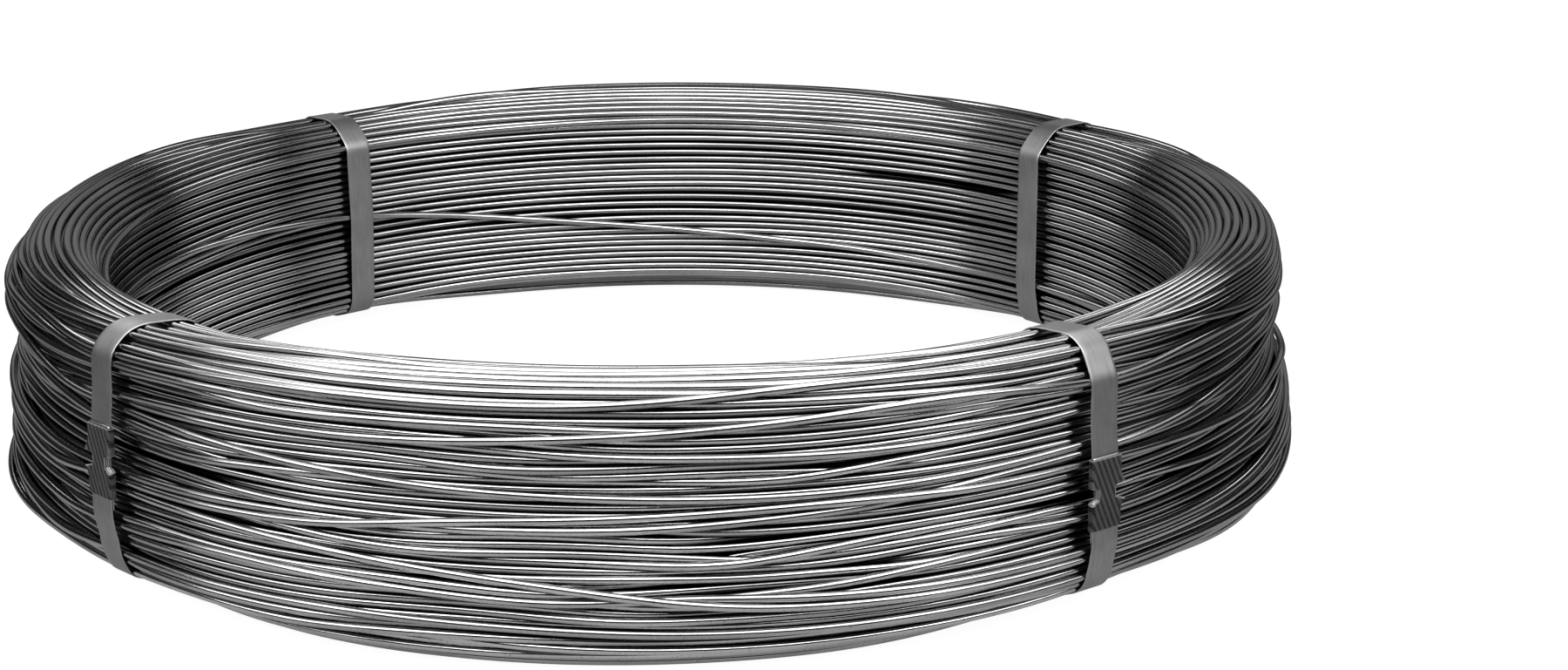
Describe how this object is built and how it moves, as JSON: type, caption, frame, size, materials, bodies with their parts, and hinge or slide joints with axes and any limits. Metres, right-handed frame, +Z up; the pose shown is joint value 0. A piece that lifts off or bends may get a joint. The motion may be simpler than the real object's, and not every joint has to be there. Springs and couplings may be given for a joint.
{
  "type": "coil of wire rod",
  "caption": "Flat-lying ring of many layers of round steel wire rod, bound by steel straps whose ends are joined by notched seals on the outer face.",
  "frame": {"origin": "middle of the coil's eye at the level that it lies on", "axes": "+Z up along the coil's axis; +X and +Y across it, with two straps at the front (-Y) and two at the back (+Y)"},
  "size_m": [0.8, 0.8, 0.1562],
  "materials": {
    "rod": "drawn bright steel, satin, with fine lengthwise marks and dull patches",
    "strap": "smooth grey steel strapping, matte",
    "seal": "dark steel with a gritted face and bright cut edges"
  },
  "bodies": {
    "root": {"wire_coil": "rod", "strap_front_left": "strap", "strap_front_right": "strap", "strap_back_right": "strap", "strap_back_left": "strap", "seal_front_left": "seal", "seal_front_right": "seal", "seal_back_right": "seal", "seal_back_left": "seal"}
  },
  "joints": []
}
